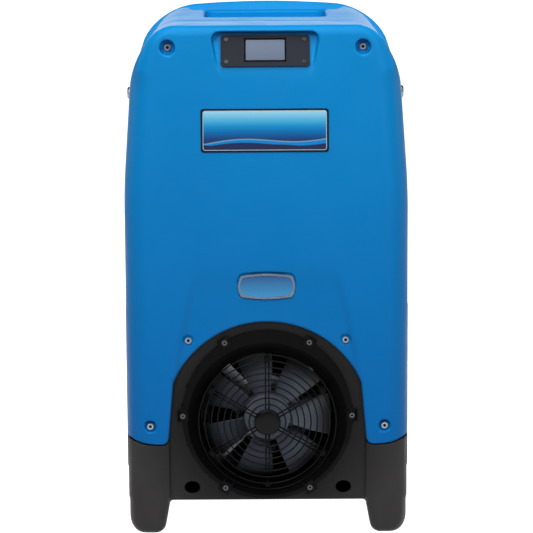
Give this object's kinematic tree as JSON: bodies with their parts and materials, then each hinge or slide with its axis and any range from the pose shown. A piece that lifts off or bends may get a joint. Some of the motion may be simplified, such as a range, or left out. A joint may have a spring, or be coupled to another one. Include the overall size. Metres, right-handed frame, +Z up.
{
  "type": "dehumidifier",
  "caption": "Upright portable commercial dehumidifier with a moulded two-tone cabinet, round fan outlet, recessed display, folding rear handle and transport wheels.",
  "frame": {"origin": "on the floor, at the centre of the overall footprint", "axes": "+X to the right seen from the front, -Y out of the front with the air outlet, +Z up"},
  "size_m": [0.484, 0.512, 0.8508],
  "materials": {
    "blue_shell": "rotomoulded, fine orange-peel satin",
    "grey_base": "rotomoulded, fine grain satin",
    "black_plastic": "moulded satin",
    "black_gloss": "moulded gloss",
    "black_wire": "powder-coated gloss",
    "steel": "zinc plated",
    "shiny_steel": "polished",
    "galvanised": "galvanised sheet",
    "aluminium": "mill finish fins",
    "copper": "drawn copper tube",
    "compressor_black": "gloss paint",
    "grey_plastic": "moulded satin",
    "rubber": "matt",
    "tyre": "matt tread",
    "label": "printed film",
    "badge_blue": "domed gloss",
    "badge_silver": "satin silver",
    "lcd": "clear window over grey display",
    "pcb": "solder resist",
    "filter_white": "pleated media",
    "hose_clear": "vinyl tube",
    "key_grey": "matt silicone"
  },
  "bodies": {
    "cabinet": {"front_shell": "blue_shell", "rear_shell": "blue_shell", "base_moulding": "grey_base", "chassis_plate": "galvanised", "front_shell_screws": "shiny_steel", "rear_shell_screws": "shiny_steel", "shell_brackets": "galvanised", "handle_pivot_hardware": "shiny_steel", "display_bezel": "black_gloss", "display_lens": "lcd", "display_board": "pcb", "display_screws": "shiny_steel", "name_plate": "label", "badge_face": "badge_blue", "badge_rim": "badge_silver", "outlet_collar": "black_plastic", "collar_screws": "shiny_steel", "fan_shroud": "galvanised", "fan_guard": "black_wire", "guard_screws": "steel", "fan_motor": "compressor_black", "motor_bracket": "galvanised", "compressor": "compressor_black", "compressor_terminal_cover": "black_plastic", "accumulator": "compressor_black", "compressor_grommets": "rubber", "compressor_bolts": "steel", "condensate_pump": "grey_plastic", "pump_hose": "hose_clear", "coil_shelf": "galvanised", "drain_tray": "grey_plastic", "evaporator_coil": "aluminium", "condenser_coil": "aluminium", "heat_exchanger": "aluminium", "coil_frame": "galvanised", "filter_drier": "copper", "suction_line": "copper", "discharge_line": "copper", "liquid_line": "copper", "electronics_box": "galvanised", "electronics_lid": "galvanised", "control_board": "pcb", "inlet_grille": "black_plastic", "keypad_plate": "black_gloss", "cord_gland": "black_plastic", "drain_spigot": "black_plastic", "cord_hooks": "black_plastic", "wheel_axle": "steel", "wheel_retainers": "shiny_steel"},
    "handle": {"handle": "blue_shell"},
    "wheel_left": {"tyre_left": "tyre", "rim_left": "grey_plastic"},
    "wheel_right": {"tyre_right": "tyre", "rim_right": "grey_plastic"},
    "fan": {"fan_rotor": "aluminium"},
    "filter": {"air_filter_frame": "grey_base", "filter_media": "filter_white"},
    "power_key": {"key_power": "key_grey"},
    "up_key": {"key_up": "key_grey"},
    "down_key": {"key_down": "key_grey"}
  },
  "joints": [
    {"name": "handle_fold", "type": "hinge", "parent": "cabinet", "child": "handle", "pos_m": [0, 0.095, 0.697], "axis": [-1, 0, 0], "range_deg": [0, 50]},
    {"name": "wheel_left_spin", "type": "hinge", "parent": "cabinet", "child": "wheel_left", "pos_m": [-0.208, 0.129, 0.127], "axis": [1, 0, 0], "continuous": true},
    {"name": "wheel_right_spin", "type": "hinge", "parent": "cabinet", "child": "wheel_right", "pos_m": [0.208, 0.129, 0.127], "axis": [1, 0, 0], "continuous": true},
    {"name": "fan_spin", "type": "hinge", "parent": "cabinet", "child": "fan", "pos_m": [0, -0.167, 0.181], "axis": [0, -1, 0], "continuous": true},
    {"name": "filter_pull", "type": "slide", "parent": "cabinet", "child": "filter", "axis": [0, 1, 0], "range_m": [0, 0.04]},
    {"name": "power_press", "type": "slide", "parent": "cabinet", "child": "power_key", "axis": [0, -1, 0], "range_m": [0, 0.0015], "stiffness_N_per_m": 600},
    {"name": "up_press", "type": "slide", "parent": "cabinet", "child": "up_key", "axis": [0, -1, 0], "range_m": [0, 0.0015], "stiffness_N_per_m": 600},
    {"name": "down_press", "type": "slide", "parent": "cabinet", "child": "down_key", "axis": [0, -1, 0], "range_m": [0, 0.0015], "stiffness_N_per_m": 600}
  ]
}
